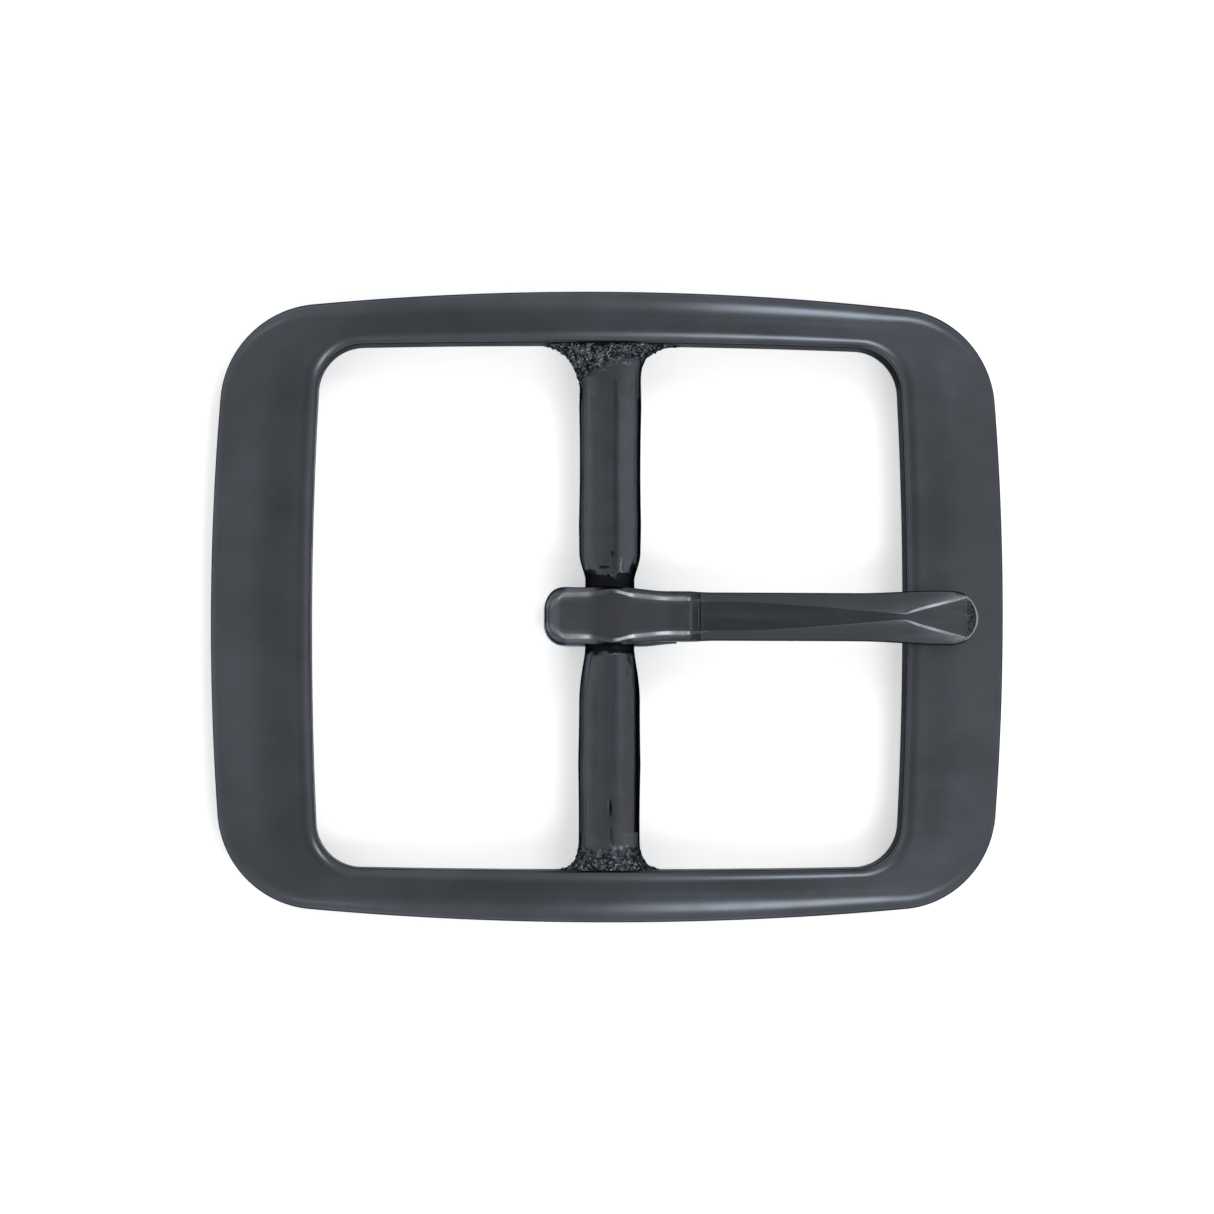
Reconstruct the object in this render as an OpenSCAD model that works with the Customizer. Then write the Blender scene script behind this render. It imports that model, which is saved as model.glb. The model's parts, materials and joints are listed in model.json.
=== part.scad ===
// Centre-bar belt buckle: an arched frame with bowed sides, a fixed centre bar and a tongue that swings on it.
// The buckle lies on its back. X runs along the belt, Y across it, and Z points to the front.
// The origin is on the ground under the middle of the frame. Lengths are in millimetres.

/* [Frame] */
// Width of the frame, along the belt
frame_w = 60; // [59:0.5:62]
// Height of the frame, across the belt
frame_h = 47.1; // [46.7:0.1:48]
// Clear width between the two side bars
window_w = 44.9; // [44:0.1:45.4]
// Clear height between the two rails, for a 38 mm strap
window_h = 39.4; // [39:0.1:39.8]
// Radius of the outer corners
outer_corner_r = 7.6; // [6:0.1:9]
// Radius of the window's corners
inner_corner_r = 3.4; // [2.8:0.1:4.4]
// Radius of the bow of the two side bars
side_bow_r = 200; // [180:5:260]
// Radius of the bow of the two rails
rail_bow_r = 290; // [240:5:350]
// Radius of the bow of the window's short sides
window_side_bow_r = 310; // [260:5:400]
// Radius of the bow of the window's long sides
window_rail_bow_r = 1700; // [1000:50:2500]

/* [Arch] */
// Radius of the arch that follows the waist
arch_r = 125; // [120:5:150]
// Height of the front at the middle of a rail
front_z = 6.1; // [6:0.05:6.3]
// Depth of metal from front to back
metal_t = 3.3; // [3.1:0.1:3.4]
// Width of the rounding along the front's edges
edge_w = 1; // [0.7:0.1:1.2]
// Depth of the rounding along the outer edge
outer_edge_d = 0.8; // [0.5:0.1:0.9]
// Depth of the rounding along the window's edge
inner_edge_d = 0.6; // [0.4:0.1:0.6]
// Swell of the front between its rounded edges
crown = 0.12; // [0:0.02:0.16]

/* [Centre bar] */
// Width of the bar
bar_w = 4.7; // [4.5:0.1:5]
// Depth of the bar between its flats
bar_d = 3.8; // [3.7:0.05:3.9]
// Height of the bar's axis, which is also the tongue's axis
bar_z = 3.2; // [3.15:0.05:3.3]
// Diameter of the neck that the tongue turns on
neck_d = 3.7; // [3.5:0.05:3.7]
// Length of the neck
neck_len = 5.9; // [5.5:0.1:6.3]
// Length of the slope from the neck up to the bar
shoulder_len = 2; // [1.5:0.1:2.5]
// Height of the fillets above the bar's front
fillet_proud = 0.2; // [0.1:0.05:0.25]
// Length of the upper fillet along the bar
upper_fillet_len = 4.1; // [3.6:0.1:4.6]
// Reach of the upper fillet along the rail, past the bar's side
upper_fillet_reach = 2.9; // [2.2:0.1:3.2]
// Length of the lower fillet along the bar
lower_fillet_len = 2.8; // [2.4:0.1:3.4]
// Reach of the lower fillet along the rail, past the bar's side
lower_fillet_reach = 1.6; // [1.2:0.1:2.2]

/* [Tongue] */
// Shift of the tongue and the neck from the middle of the bar
tongue_y = -0.76; // [-1:0.02:0]
// Radial clearance between the claw and the neck
clearance = 0.1; // [0.05:0.01:0.1]
// Width of the claw
claw_w = 4.35; // [4.1:0.05:4.6]
// Reach of the claw behind its axis
claw_back = 4.94; // [4.6:0.02:5.2]
// Place of the step where the claw ends and the blade starts
step_x = 6.6; // [6.3:0.1:6.9]
// End of the claw's lower jaw
jaw_x = 5.2; // [5:0.1:5.4]
// Thickness of the claw over the neck
claw_roof = 1.5; // [1.4:0.05:1.7]
// Thickness of the lower jaw under the neck
jaw_t = 1; // [0.9:0.02:1]
// Height of the step from the blade up to the claw
step_h = 0.8; // [0.7:0.05:0.9]
// Depth of the blade where it leaves the claw
blade_t = 1.7; // [1.5:0.1:1.9]
// Rise of the blade's top from the claw to its ridge
ridge_rise = 0.4; // [0.3:0.05:0.45]
// Width of the blade
blade_w = 3.6; // [3.4:0.05:3.8]
// Width of the blade's flared tip
tip_w = 4.06; // [3.9:0.02:4.2]
// End of the tip
tip_x = 27.8; // [27.8:0.1:28.4]
// Fall of the top from the ridge to the nose
nose_fall = 1.35; // [1.2:0.05:1.5]

/* [Hidden] */
$fn = 96;

// Points along one quarter of an outline: half a short side, a corner and half a long side.
side_steps = 5;
corner_steps = 8;
long_steps = 7;
// Angles between the points that round the frame's edges and the fillets.
edge_step = 22.5;
fillet_step = 11.25;

// A fused end reaches this far into the rail.
fused = 0.1;
// Cutting solids run past what they cut by this much, and the longest ones reach far.
past = 1;
far = 40;

bar_r = bar_w / 2;
neck_r = neck_d / 2;
// The neck's middle sits this far above the tongue's.
neck_shift = 0.2;
rail_y = window_h / 2;
rail_back_z = front_z - metal_t;
bar_back_z = bar_z - bar_d / 2;
fillet_front_z = bar_z + bar_d / 2 + fillet_proud;

bore_r = neck_r + clearance;
claw_top_z = bar_z + bore_r + claw_roof;
claw_bottom_z = bar_z - bore_r - jaw_t;
claw_top_r = 1.4;
claw_bottom_r = 2;
claw_corner_r = 1.1;
claw_top_bevel = 0.7;
claw_back_bevel = 0.35;
// The slit between the claw's body and its lower jaw starts this far below the axis.
slit_drop = 0.9;
slit_h = 0.35;
slit_z = bar_z - slit_drop;
// Lengths of the sloped step on top and of the draw-in from the claw's sides to the blade's.
step_run = 0.6;
draw_in = 1.3;

blade_top_z = claw_top_z - step_h;
// The blade's solid starts this far inside the claw.
root_x = step_x - 1;
ridge_x = 22;
ridge_z = blade_top_z + ridge_rise;
// The sides flare from here to the tip, which is straight for tip_side and then round.
flare_x = ridge_x - 2;
tip_side = 0.5;
nose_x = tip_x - 1;
nose_top_z = ridge_z - nose_fall;
nose_edge = 0.5;
// The blade lies this far above the side bar.
rest_gap = 0.1;
// The bevels of the blade's top start eaves_drop below it and have this slope.
eaves_drop = 0.4;
bevel_rise = 0.9;
bevel_run = 1.6;

// Depth by which the arch falls away at a distance x from the middle.
function arch_drop(x) = arch_r - sqrt(arch_r * arch_r - x * x);

// Height of the front of the frame along the middle of a bar.
function front_at(x) = front_z - arch_drop(x) + crown;

// Centre of a corner arc of radius r that touches the side arc s and the long arc t from inside.
// An arc is [x of its centre, y of its centre, its radius].
function corner_centre(s, t, r) =
    let (ds = s[2] - r, dt = t[2] - r)
    let (gap = [t[0] - s[0], t[1] - s[1]])
    let (d = norm(gap), u = gap / d)
    let (k = (ds * ds - dt * dt + d * d) / (2 * d))
    let (h = sqrt(ds * ds - k * k))
    [s[0] + k * u[0] - h * u[1], s[1] + k * u[1] + h * u[0]];

// Points on an arc about c from angle a towards angle b, without the last one.
function arc(c, r, a, b, steps) =
    [for (i = [0 : steps - 1]) let (q = a + (b - a) * i / steps) [c[0] + r * cos(q), c[1] + r * sin(q)]];

// One quarter of an outline w wide and h high, from the middle of the right side to the top.
function quarter(w, h, r, side_r, long_r) =
    let (s = [w / 2 - side_r, 0, side_r], t = [0, h / 2 - long_r, long_r])
    let (c = corner_centre(s, t, r))
    let (a = atan2(c[1], c[0] - s[0]), b = atan2(c[1] - t[1], c[0]))
    concat(
        arc(s, side_r, 0, a, side_steps),
        arc(c, r, a, b, corner_steps),
        arc(t, long_r, b, 90, long_steps),
        [[0, h / 2]]);

// The whole outline, anticlockwise, mirrored from one quarter.
function outline(q) =
    let (n = len(q) - 1)
    concat(
        [for (i = [0 : n - 1]) q[i]],
        [for (i = [n : -1 : 1]) [-q[i][0], q[i][1]]],
        [for (i = [0 : n - 1]) -q[i]],
        [for (i = [n : -1 : 1]) [q[i][0], -q[i][1]]]);

// The front's profile across a bar of width w: [distance from the outer edge, depth below the front].
function front_profile(w) = concat(
    [for (a = [0 : edge_step : 90]) [edge_w * (1 - cos(a)), outer_edge_d * (1 - sin(a))]],
    [[w / 2, -crown]],
    [for (a = [90 : -edge_step : 0]) [w - edge_w * (1 - cos(a)), inner_edge_d * (1 - sin(a))]]);

// One cross-section of the ring, from an outer point to the inner point beside it.
function section(outer, inner) =
    let (w = norm(inner - outer))
    [for (f = concat([[0, metal_t]], front_profile(w), [[w, metal_t]]))
        let (p = outer + (inner - outer) * f[0] / w)
        [p[0], p[1], front_z - arch_drop(p[0]) - f[1]]];

// A closed ring through rings of points: each quad is cut into two triangles.
module ring(sections) {
    m = len(sections);
    n = len(sections[0]);
    points = [for (s = sections) each s];
    faces = [for (i = [0 : m - 1], j = [0 : n - 1])
        let (a = i * n + j, b = i * n + (j + 1) % n, c = ((i + 1) % m) * n + (j + 1) % n, d = ((i + 1) % m) * n + j)
        each [[a, b, c], [a, c, d]]];
    polyhedron(points, faces, convexity = 6);
}

// A flat shape drawn in X and Z, drawn out along Y about the tongue's middle.
module along_y(width) {
    translate([0, tongue_y + width / 2, 0])
        rotate([90, 0, 0])
            linear_extrude(width)
                children();
}

// A flat shape drawn in Y and Z, drawn out along X.
module along_x() {
    translate([-far, tongue_y, 0])
        rotate([90, 0, 90])
            linear_extrude(2 * far)
                children();
}

// The arched ring. Its back is ground flat under the two side bars, where it rests.
module frame() {
    outer = outline(quarter(frame_w, frame_h, outer_corner_r, side_bow_r, rail_bow_r));
    inner = outline(quarter(window_w, window_h, inner_corner_r, window_side_bow_r, window_rail_bow_r));
    color("dimgray")
        difference() {
            ring([for (i = [0 : len(outer) - 1]) section(outer[i], inner[i])]);
            translate([-far, -far, -far])
                cube([2 * far, 2 * far, far]);
        }
}

// The space under the bar's end, which slopes up to the back of the rail.
module end_relief(side, fillet_len) {
    bar_end = rail_y + fused + past;
    rotate([90, 0, 90])
        translate([0, 0, -far])
            linear_extrude(2 * far)
                polygon([
                    [side * (rail_y - fillet_len), bar_back_z - past],
                    [side * (rail_y - fillet_len), bar_back_z],
                    [side * rail_y, rail_back_z],
                    [side * bar_end, rail_back_z],
                    [side * bar_end, bar_back_z - past]]);
}

// The bar as one turned piece with a neck, flattened in front and behind.
module centre_bar() {
    reach = rail_y + fused;
    neck_a = tongue_y + neck_shift - neck_len / 2;
    neck_b = neck_a + neck_len;
    color("slategray")
        difference() {
            intersection() {
                translate([0, 0, bar_z])
                    rotate([-90, 0, 0])
                        rotate_extrude()
                            polygon([
                                [0, -reach],
                                [bar_r, -reach],
                                [bar_r, neck_a - shoulder_len],
                                [neck_r, neck_a],
                                [neck_r, neck_b],
                                [bar_r, neck_b + shoulder_len],
                                [bar_r, reach],
                                [0, reach]]);
                translate([-far, -far, bar_back_z])
                    cube([2 * far, 2 * far, bar_d]);
            }
            end_relief(1, upper_fillet_len);
            end_relief(-1, lower_fillet_len);
        }
}

// A fillet that sweeps out from the bar's side to the rail. side is 1 at the top and -1 at the bottom.
module braze(side, fillet_len, reach) {
    difference() {
        intersection() {
            translate([0, 0, bar_z])
                rotate([-90 * side, 0, 0])
                    rotate_extrude()
                        polygon(concat(
                            [[0, rail_y - fillet_len]],
                            [for (a = [0 : fillet_step : 90])
                                [bar_r + reach * (1 - cos(a)), rail_y - fillet_len * (1 - sin(a))]],
                            [[bar_r + reach, rail_y + fused], [0, rail_y + fused]]));
            translate([-far, -far, bar_back_z])
                cube([2 * far, 2 * far, fillet_front_z - bar_back_z]);
        }
        end_relief(side, fillet_len);
        centre_bar();
    }
}

module upper_braze() {
    color("gray")
        braze(1, upper_fillet_len, upper_fillet_reach);
}

module lower_braze() {
    color("gray")
        braze(-1, lower_fillet_len, lower_fillet_reach);
}

// A block from corner a to corner b with three of its corners rounded.
module round_block(a, b, top_r, bottom_r) {
    difference() {
        translate(a)
            square(b - a);
        corner_cut([a[0], b[1]], [1, -1], top_r);
        corner_cut(a, [1, 1], bottom_r);
        corner_cut([b[0], a[1]], [-1, 1], bottom_r);
    }
}

// What is cut from a corner at p to round it to radius r. dir points into the block.
module corner_cut(p, dir, r) {
    translate(p)
        scale(dir)
            difference() {
                translate([-past, -past])
                    square(r + past);
                translate([r, r])
                    circle(r);
            }
}

// Side view of the claw: the body over the neck and the lower jaw closed under it.
module claw_side() {
    difference() {
        union() {
            round_block([-claw_back, claw_bottom_z], [jaw_x, claw_top_z], claw_top_r, claw_bottom_r);
            polygon([
                [0, slit_z + slit_h],
                [step_x - step_run, slit_z + slit_h],
                [step_x + draw_in, blade_top_z - blade_t],
                [step_x + step_run / 2, blade_top_z],
                [step_x - step_run / 2, claw_top_z],
                [0, claw_top_z]]);
        }
        translate([0, slit_z])
            square([jaw_x + past, slit_h]);
    }
}

// Plan of the claw: rounded behind, and drawn in to the blade in front.
module claw_plan() {
    half = claw_w / 2;
    r = claw_corner_r;
    for (side = [-1, 1])
        translate([r - claw_back, tongue_y + side * (half - r)])
            circle(r);
    translate([-claw_back, tongue_y - half + r])
        square([claw_back, claw_w - 2 * r]);
    translate([0, tongue_y])
        polygon([
            [r - claw_back, -half],
            [step_x - draw_in, -half],
            [step_x + draw_in, -blade_w / 2],
            [step_x + draw_in, blade_w / 2],
            [step_x - draw_in, half],
            [r - claw_back, half]]);
}

// Cross-section of the claw: a block with its long edges bevelled.
module claw_section() {
    half = claw_w / 2;
    polygon([
        [-half, claw_bottom_z + claw_back_bevel],
        [claw_back_bevel - half, claw_bottom_z],
        [half - claw_back_bevel, claw_bottom_z],
        [half, claw_bottom_z + claw_back_bevel],
        [half, claw_top_z - claw_top_bevel],
        [half - claw_top_bevel, claw_top_z],
        [claw_top_bevel - half, claw_top_z],
        [-half, claw_top_z - claw_top_bevel]]);
}

// Side view of the blade: it rises to a ridge, slopes down to the nose and follows the side bar below.
module blade_side() {
    rest_x = window_w / 2 + edge_w;
    polygon([
        [root_x, blade_top_z - blade_t],
        [rest_x, front_at(rest_x) + rest_gap],
        [tip_x, front_at(tip_x) + rest_gap],
        [tip_x, front_at(tip_x) + rest_gap + nose_edge],
        [nose_x, nose_top_z],
        [ridge_x, ridge_z],
        [root_x, blade_top_z]]);
}

// Plan of the blade: straight, then flared to the tip, with a round nose.
module blade_plan() {
    half = blade_w / 2;
    tip_half = tip_w / 2;
    nose_c = tip_x - tip_half;
    translate([0, tongue_y]) {
        polygon([
            [root_x, -half],
            [flare_x, -half],
            [nose_c - tip_side, -tip_half],
            [nose_c, -tip_half],
            [nose_c, tip_half],
            [nose_c - tip_side, tip_half],
            [flare_x, half],
            [root_x, half]]);
        translate([nose_c, 0])
            circle(tip_half);
    }
}

// Cross-section of the blade: a low roof, whose flat top narrows as the blade rises into it.
module blade_section() {
    half = blade_w / 2;
    eaves_z = blade_top_z - eaves_drop;
    spread = tip_w - blade_w;
    slope = bevel_rise / bevel_run;
    polygon([
        [-half - spread, 0],
        [half + spread, 0],
        [half + spread, eaves_z - spread * slope],
        [half - bevel_run, eaves_z + bevel_rise],
        [-half + bevel_run, eaves_z + bevel_rise],
        [-half - spread, eaves_z - spread * slope]]);
}

// The tongue: claw and blade in one piece, bored for the neck.
module tongue() {
    color("lightslategray")
        difference() {
            union() {
                intersection() {
                    along_y(claw_w)
                        claw_side();
                    linear_extrude(far)
                        claw_plan();
                    along_x()
                        claw_section();
                }
                intersection() {
                    along_y(tip_w)
                        blade_side();
                    linear_extrude(far)
                        blade_plan();
                    along_x()
                        blade_section();
                }
            }
            translate([0, tongue_y + claw_w, bar_z])
                rotate([90, 0, 0])
                    cylinder(h = 2 * claw_w, r = bore_r);
        }
}

frame();
centre_bar();
upper_braze();
lower_braze();
tongue();
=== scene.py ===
import json
import math

import bmesh
import bpy
from mathutils import Matrix, Vector


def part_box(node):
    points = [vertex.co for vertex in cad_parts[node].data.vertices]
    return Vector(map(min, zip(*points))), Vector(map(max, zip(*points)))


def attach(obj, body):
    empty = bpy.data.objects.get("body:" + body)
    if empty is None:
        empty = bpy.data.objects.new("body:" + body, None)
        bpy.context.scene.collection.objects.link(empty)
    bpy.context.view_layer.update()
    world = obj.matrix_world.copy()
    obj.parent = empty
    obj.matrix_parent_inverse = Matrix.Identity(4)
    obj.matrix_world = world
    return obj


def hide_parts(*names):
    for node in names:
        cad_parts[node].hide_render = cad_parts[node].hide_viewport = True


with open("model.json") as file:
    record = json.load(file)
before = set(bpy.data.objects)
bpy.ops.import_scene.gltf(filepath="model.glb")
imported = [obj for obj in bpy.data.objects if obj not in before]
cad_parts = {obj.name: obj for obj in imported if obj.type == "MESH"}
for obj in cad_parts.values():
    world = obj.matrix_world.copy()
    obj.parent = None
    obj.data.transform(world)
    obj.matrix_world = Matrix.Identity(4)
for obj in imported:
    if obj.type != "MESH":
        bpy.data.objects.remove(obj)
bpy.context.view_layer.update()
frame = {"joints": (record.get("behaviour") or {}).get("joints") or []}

# Lengths are worked out in millimetres and written to meshes in metres.
MM = 0.001

# The frame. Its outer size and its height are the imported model's.
FRAME_LOW, FRAME_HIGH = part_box("frame")
FRAME_W = (FRAME_HIGH.x - FRAME_LOW.x) / MM
FRAME_H = (FRAME_HIGH.y - FRAME_LOW.y) / MM
WINDOW_W = 44.9
WINDOW_H = 39.4
RAIL_Y = WINDOW_H / 2
OUTER_CORNER_R = 7.6
INNER_CORNER_R = 3.4
SIDE_BOW_R = 200
RAIL_BOW_R = 290
WINDOW_SIDE_BOW_R = 310
WINDOW_RAIL_BOW_R = 1700
ARCH_R = 125
METAL_T = 3.3
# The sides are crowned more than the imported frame's middle is, but they lie lower on the arch.
CROWN = 0.12
SIDE_CROWN = 0.2
FRONT_Z = FRAME_HIGH.z / MM - CROWN

# The bar and its neck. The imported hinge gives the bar's axis and the middle of the tongue.
HINGE = frame["joints"][0]
AXIS_Z = HINGE["pos_m"][2] / MM
TONGUE_Y = HINGE["pos_m"][1] / MM
BAR_W = 4.7
BAR_D = 3.8
NECK_D = 3.7
NECK_LEN = 5.9
NECK_Y = TONGUE_Y + 0.2
SHOULDER_LEN = 2
BAR_IN_RAIL = 0.3

# The tongue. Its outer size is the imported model's.
TONGUE_LOW, TONGUE_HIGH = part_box("tongue")
CLAW_X = TONGUE_LOW.x / MM
TIP_X = TONGUE_HIGH.x / MM
CLAW_TOP = TONGUE_HIGH.z / MM
CLAW_BOTTOM = TONGUE_LOW.z / MM
CLAW_W = (TONGUE_HIGH.y - TONGUE_LOW.y) / MM
BORE_R = NECK_D / 2 + 0.1
BLADE_W = 3.6
TIP_R = 2.03
STEP_X = 6.6
JAW_X = 5.2
STEP_H = 0.8
BLADE_T = 1.7
LIP_X = 5.6
BLADE_X = STEP_X + 1.3
BAND_X = 10
RIDGE_X = 22
RIDGE_RISE = 0.4
NOSE_FALL = 1.35
NOSE_X = TIP_X - 1.15
NOSE_C = TIP_X - TIP_R
NOSE_DROP = 0.6
THINNEST = 0.4
REST_GAP = 0.03
SLIT_LOW = AXIS_Z - 0.9
SLIT_HIGH = SLIT_LOW + 0.35

# Points closer than this are one point, on the skins and on the ring.
SKIN_WELD = 0.0005
RING_WELD = 0.002


# ---------------------------------------------------------------- node trees as expressions

class Wire:
    """One output of a node. Arithmetic on a wire adds Math nodes to its tree."""

    def __init__(self, graph, socket):
        self.graph = graph
        self.socket = socket

    def math(self, operation, *others):
        inputs = dict(enumerate((self, *others)))
        return self.graph.node("ShaderNodeMath", {"operation": operation}, inputs)

    def __add__(self, other):
        return self.math("ADD", other)

    def __radd__(self, other):
        return self.math("ADD", other)

    def __sub__(self, other):
        return self.math("SUBTRACT", other)

    def __rsub__(self, other):
        return self.graph.node("ShaderNodeMath", {"operation": "SUBTRACT"}, {0: other, 1: self})

    def __mul__(self, other):
        return self.math("MULTIPLY", other)

    def __rmul__(self, other):
        return self.math("MULTIPLY", other)

    def __truediv__(self, other):
        return self.math("DIVIDE", other)

    def __rtruediv__(self, other):
        return self.graph.node("ShaderNodeMath", {"operation": "DIVIDE"}, {0: other, 1: self})

    def __pow__(self, other):
        return self.math("POWER", other)

    def sqrt(self):
        return self.math("SQRT")

    def sin(self):
        return self.math("SINE")

    def cos(self):
        return self.math("COSINE")

    def atan2(self, other):
        return self.math("ARCTAN2", other)

    def floor(self):
        return self.math("FLOOR")

    def most(self, other):
        """The smaller of this and other."""
        return self.math("MINIMUM", other)

    def least(self, other):
        """The larger of this and other."""
        return self.math("MAXIMUM", other)

    def clamp(self):
        return self.least(0).most(1)

    def near(self, value, reach):
        """1 within reach of value, and 0 elsewhere."""
        return self.math("COMPARE", value, reach)

    def ease(self, low, high):
        """Rises smoothly from 0 at low to 1 at high."""
        t = ((self - low) / (high - low)).clamp()
        return t * t * (3 - 2 * t)


class Graph:
    """A shader or geometry node tree."""

    def __init__(self, tree):
        self.tree = tree

    def node(self, kind, settings=None, inputs=None, output=0):
        """Adds a node. Its settings are set first, then the values or links of its sockets."""
        made = self.tree.nodes.new(kind)
        for name, value in (settings or {}).items():
            if name == "stops":
                self.set_stops(made.color_ramp, value)
            else:
                setattr(made, name, value)
        for key, value in (inputs or {}).items():
            if isinstance(value, Wire):
                self.tree.links.new(value.socket, made.inputs[key])
            else:
                made.inputs[key].default_value = value
        return Wire(self, made.outputs[output]) if made.outputs else None

    @staticmethod
    def set_stops(ramp, stops):
        """Gives a colour ramp its stops: pairs of a place and a grey."""
        while len(ramp.elements) < len(stops):
            ramp.elements.new(1)
        for element, (place, grey) in zip(ramp.elements, stops):
            element.position = place
            element.color = (grey, grey, grey, 1)

    def split(self, vector):
        """The three parts of a vector."""
        first = self.node("ShaderNodeSeparateXYZ", inputs={0: vector})
        return [Wire(self, out) for out in first.socket.node.outputs]

    def join(self, x, y, z):
        return self.node("ShaderNodeCombineXYZ", inputs={0: x, 1: y, 2: z})


# ---------------------------------------------------------------- meshes

def make_piece(name, mesh):
    piece = bpy.data.objects.new(name, mesh)
    bpy.context.scene.collection.objects.link(piece)
    return piece


def loft(name, rings):
    """A closed skin through rings of points in millimetres, with both ends closed.
    A point may carry a fourth number, how much painted highlight and rubbing its edge gets."""
    count = len(rings[0])
    points = [tuple(c * MM for c in point[:3]) for ring in rings for point in ring]
    rubs_and_highlights = [point[3] if len(point) > 3 else 0 for ring in rings for point in ring]
    faces = []
    for i in range(len(rings) - 1):
        for j in range(count):
            k = (j + 1) % count
            faces.append((i * count + j, i * count + k, (i + 1) * count + k, (i + 1) * count + j))
    for ring_start, turn in ((0, -1), ((len(rings) - 1) * count, 1)):
        centre = len(points)
        ends = points[ring_start:ring_start + count]
        points.append(tuple(sum(axis) / count for axis in zip(*ends)))
        for j in range(count):
            k = (j + 1) % count
            faces.append((centre, ring_start + j, ring_start + k)[::turn])
    mesh = bpy.data.meshes.new(name)
    mesh.from_pydata(points, [], faces)
    edge = mesh.attributes.new("edge", "FLOAT", "POINT")
    for i, value in enumerate(rubs_and_highlights):
        edge.data[i].value = value
    tidy_normals(mesh)
    return mesh


def tidy_normals(mesh):
    """Merges doubles, turns every face outwards and shades the mesh smooth."""
    work = bmesh.new()
    work.from_mesh(mesh)
    bmesh.ops.remove_doubles(work, verts=work.verts, dist=SKIN_WELD * MM)
    bmesh.ops.recalc_face_normals(work, faces=work.faces)
    work.to_mesh(mesh)
    work.free()
    mesh.shade_smooth()


def shape_tree(name, sizes, takes_mesh=False):
    """A new geometry tree and its inputs by name: each size, and a mesh if it takes one."""
    tree = bpy.data.node_groups.new(name, "GeometryNodeTree")
    tree.is_modifier = True
    if takes_mesh:
        tree.interface.new_socket("Geometry", in_out="INPUT", socket_type="NodeSocketGeometry")
    tree.interface.new_socket("Geometry", in_out="OUTPUT", socket_type="NodeSocketGeometry")
    for size in sizes:
        tree.interface.new_socket(size, in_out="INPUT", socket_type="NodeSocketFloat")
    g = Graph(tree)
    given = g.node("NodeGroupInput").socket.node.outputs
    return g, {socket.name: Wire(g, socket) for socket in given if socket.name}


def lifted_and_dressed(g, geometry, height, material):
    """Ends a geometry tree: lifts the surface by height, shades it smooth and gives it its material."""
    normal = g.node("GeometryNodeInputNormal")
    lift = g.node("ShaderNodeVectorMath", {"operation": "SCALE"}, {0: normal, "Scale": height})
    rough = g.node("GeometryNodeSetPosition", inputs={"Geometry": geometry, "Offset": lift})
    shaded = g.node("GeometryNodeSetShadeSmooth", inputs={"Geometry": rough})
    real = g.node("GeometryNodeRealizeInstances", inputs={"Geometry": shaded})
    dressed = g.node("GeometryNodeSetMaterial", inputs={"Geometry": real, "Material": material})
    g.node("NodeGroupOutput", inputs={0: dressed})
    return g.tree


def grown(name, tree, values, seed_mesh=None):
    """Runs a geometry tree on a piece and keeps the result as a plain mesh."""
    piece = make_piece(name, seed_mesh or bpy.data.meshes.new(name))
    modifier = piece.modifiers.new("shape", "NODES")
    modifier.node_group = tree
    for item in tree.interface.items_tree:
        if item.in_out == "INPUT" and item.name in values:
            modifier[item.identifier] = values[item.name]
    bpy.context.view_layer.update()
    evaluated = piece.evaluated_get(bpy.context.evaluated_depsgraph_get())
    mesh = bpy.data.meshes.new_from_object(evaluated)
    piece.modifiers.clear()
    piece.data = mesh
    mesh.name = name
    return piece


def finished(piece, body, node, material):
    """Dresses a piece and makes it stand for its CAD node."""
    if not piece.data.materials:
        piece.data.materials.append(material)
    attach(piece, body)
    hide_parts(node)


def lerp(a, b, t):
    return a + (b - a) * t


def smooth(low, high, value):
    """Rises smoothly from 0 at low to 1 at high."""
    t = min(1, max(0, (value - low) / (high - low)))
    return t * t * (3 - 2 * t)


def bump(centre, reach, value):
    """A smooth hump, 1 at centre and 0 beyond reach."""
    return 1 - smooth(0, reach, abs(value - centre))


def arch_drop(x):
    return ARCH_R - math.sqrt(ARCH_R * ARCH_R - x * x)


def front_at(x):
    return FRONT_Z + SIDE_CROWN - arch_drop(x)


def rounded(corners, radii, steps):
    """An open polyline whose inner corners are rounded off, each by about its radius and in as many steps."""
    points = [corners[0]]
    for before, corner, after, radius in zip(corners, corners[1:], corners[2:], radii):
        a = Vector(before) - Vector(corner)
        b = Vector(after) - Vector(corner)
        half = a.angle(b) / 2
        cut = min(radius / math.tan(half), a.length * 0.45, b.length * 0.45)
        start = Vector(corner) + a.normalized() * cut
        end = Vector(corner) + b.normalized() * cut
        for i in range(steps + 1):
            t = i / steps
            first = start.lerp(Vector(corner), t)
            last = Vector(corner).lerp(end, t)
            points.append(tuple(first.lerp(last, t)))
    points.append(corners[-1])
    return points


# ---------------------------------------------------------------- frame

RING_STATIONS = 440
# Steps round the section: back corner, wall, bevel, flat, bevel, wall, back corner and back.
SECTION_STEPS = (3, 8, 12, 16, 12, 8, 3, 10)


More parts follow.
